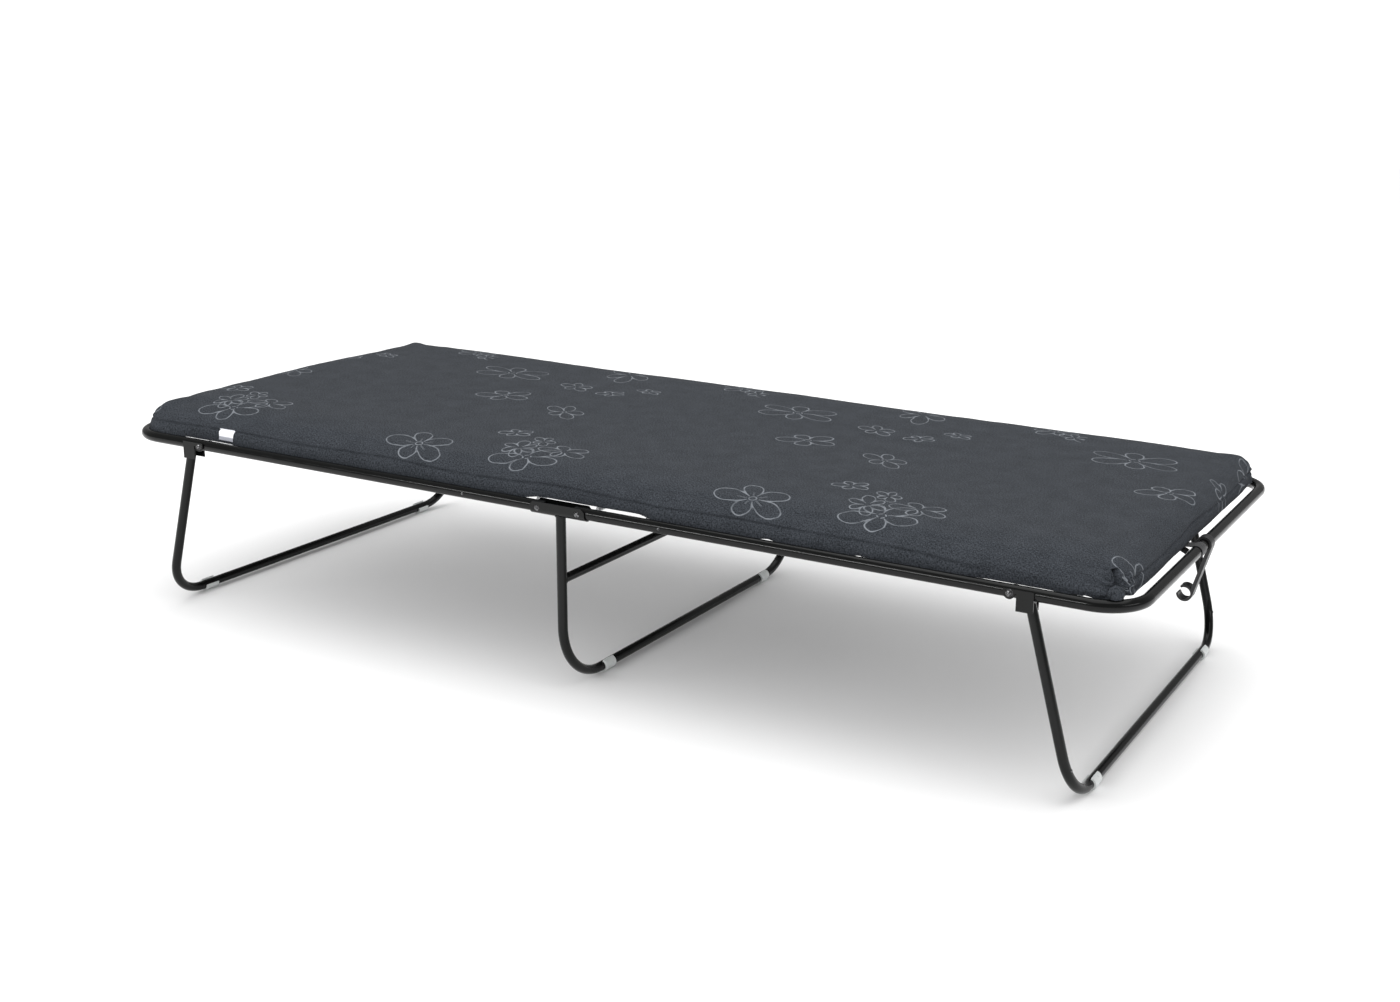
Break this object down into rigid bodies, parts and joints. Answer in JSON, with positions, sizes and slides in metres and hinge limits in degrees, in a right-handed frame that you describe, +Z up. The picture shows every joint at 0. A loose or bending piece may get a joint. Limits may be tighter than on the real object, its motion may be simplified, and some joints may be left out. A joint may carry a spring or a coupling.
{
  "type": "folding cot",
  "caption": "Folding cot with a black tube frame, a centre leg with hinges, fold-away end legs, a sprung cloth base and a flowered foam mattress.",
  "frame": {"origin": "on the floor below the middle of the cot", "axes": "+X towards the foot end, +Y to the far side (the transport clip hangs on the near half of the foot end), +Z up"},
  "size_m": [1.905, 0.811, 0.3715],
  "materials": {
    "frame_paint": "gloss black paint",
    "bright_steel": "zinc plated",
    "pale_plastic": "pale grey, slightly translucent",
    "black_plastic": "satin black",
    "base_cloth": "black woven",
    "mattress_cloth": "dark blue-grey heathered cotton with pale outlined flowers",
    "label_cloth": "white satin tape"
  },
  "bodies": {
    "centre_support": {"middle_leg_tube": "frame_paint", "middle_leg_brace": "frame_paint", "hinge_bracket_near": "frame_paint", "hinge_bracket_far": "frame_paint", "hinge_rivets": "bright_steel", "middle_foot_near": "pale_plastic", "middle_foot_far": "pale_plastic", "mattress_middle": "mattress_cloth"},
    "head_frame": {"head_frame_tube": "frame_paint", "head_base_cloth": "base_cloth", "head_hem_rods": "bright_steel", "head_springs": "bright_steel", "head_end_strap": "base_cloth", "head_rail_rivets": "bright_steel", "mattress_head": "mattress_cloth", "mattress_label": "label_cloth"},
    "foot_frame": {"foot_frame_tube": "frame_paint", "foot_base_cloth": "base_cloth", "foot_hem_rods": "bright_steel", "foot_springs": "bright_steel", "foot_end_strap": "base_cloth", "foot_rail_rivets": "bright_steel", "mattress_foot": "mattress_cloth"},
    "head_leg": {"head_leg_tube": "frame_paint", "head_leg_bracket_near": "frame_paint", "head_leg_bracket_far": "frame_paint", "head_leg_bolts": "bright_steel", "head_leg_rivets": "bright_steel", "head_leg_foot_near": "pale_plastic", "head_leg_foot_far": "pale_plastic"},
    "foot_leg": {"foot_leg_tube": "frame_paint", "foot_leg_bracket_near": "frame_paint", "foot_leg_bracket_far": "frame_paint", "foot_leg_bolts": "bright_steel", "foot_leg_rivets": "bright_steel", "foot_leg_foot_near": "pale_plastic", "foot_leg_foot_far": "pale_plastic"},
    "transport_clip_body": {"transport_clip": "black_plastic"}
  },
  "joints": [
    {"name": "head_fold", "type": "hinge", "parent": "centre_support", "child": "head_frame", "pos_m": [-0.038, 0, 0.312], "axis": [0, 1, 0], "range_deg": [0, 89.7], "deforming": ["mattress_head", "mattress_middle"]},
    {"name": "foot_fold", "type": "hinge", "parent": "centre_support", "child": "foot_frame", "pos_m": [0.038, 0, 0.312], "axis": [0, -1, 0], "range_deg": [0, 89.7], "deforming": ["mattress_foot", "mattress_middle"]},
    {"name": "head_leg_fold", "type": "hinge", "parent": "head_frame", "child": "head_leg", "pos_m": [-0.763, 0, 0.312], "axis": [0, -1, 0], "range_deg": [0, 105]},
    {"name": "foot_leg_fold", "type": "hinge", "parent": "foot_frame", "child": "foot_leg", "pos_m": [0.763, 0, 0.312], "axis": [0, 1, 0], "range_deg": [0, 105]},
    {"name": "clip_swing", "type": "hinge", "parent": "foot_frame", "child": "transport_clip_body", "pos_m": [0.9405, -0.025, 0.312], "axis": [0, -1, 0], "range_deg": [-35, 196.3]}
  ]
}
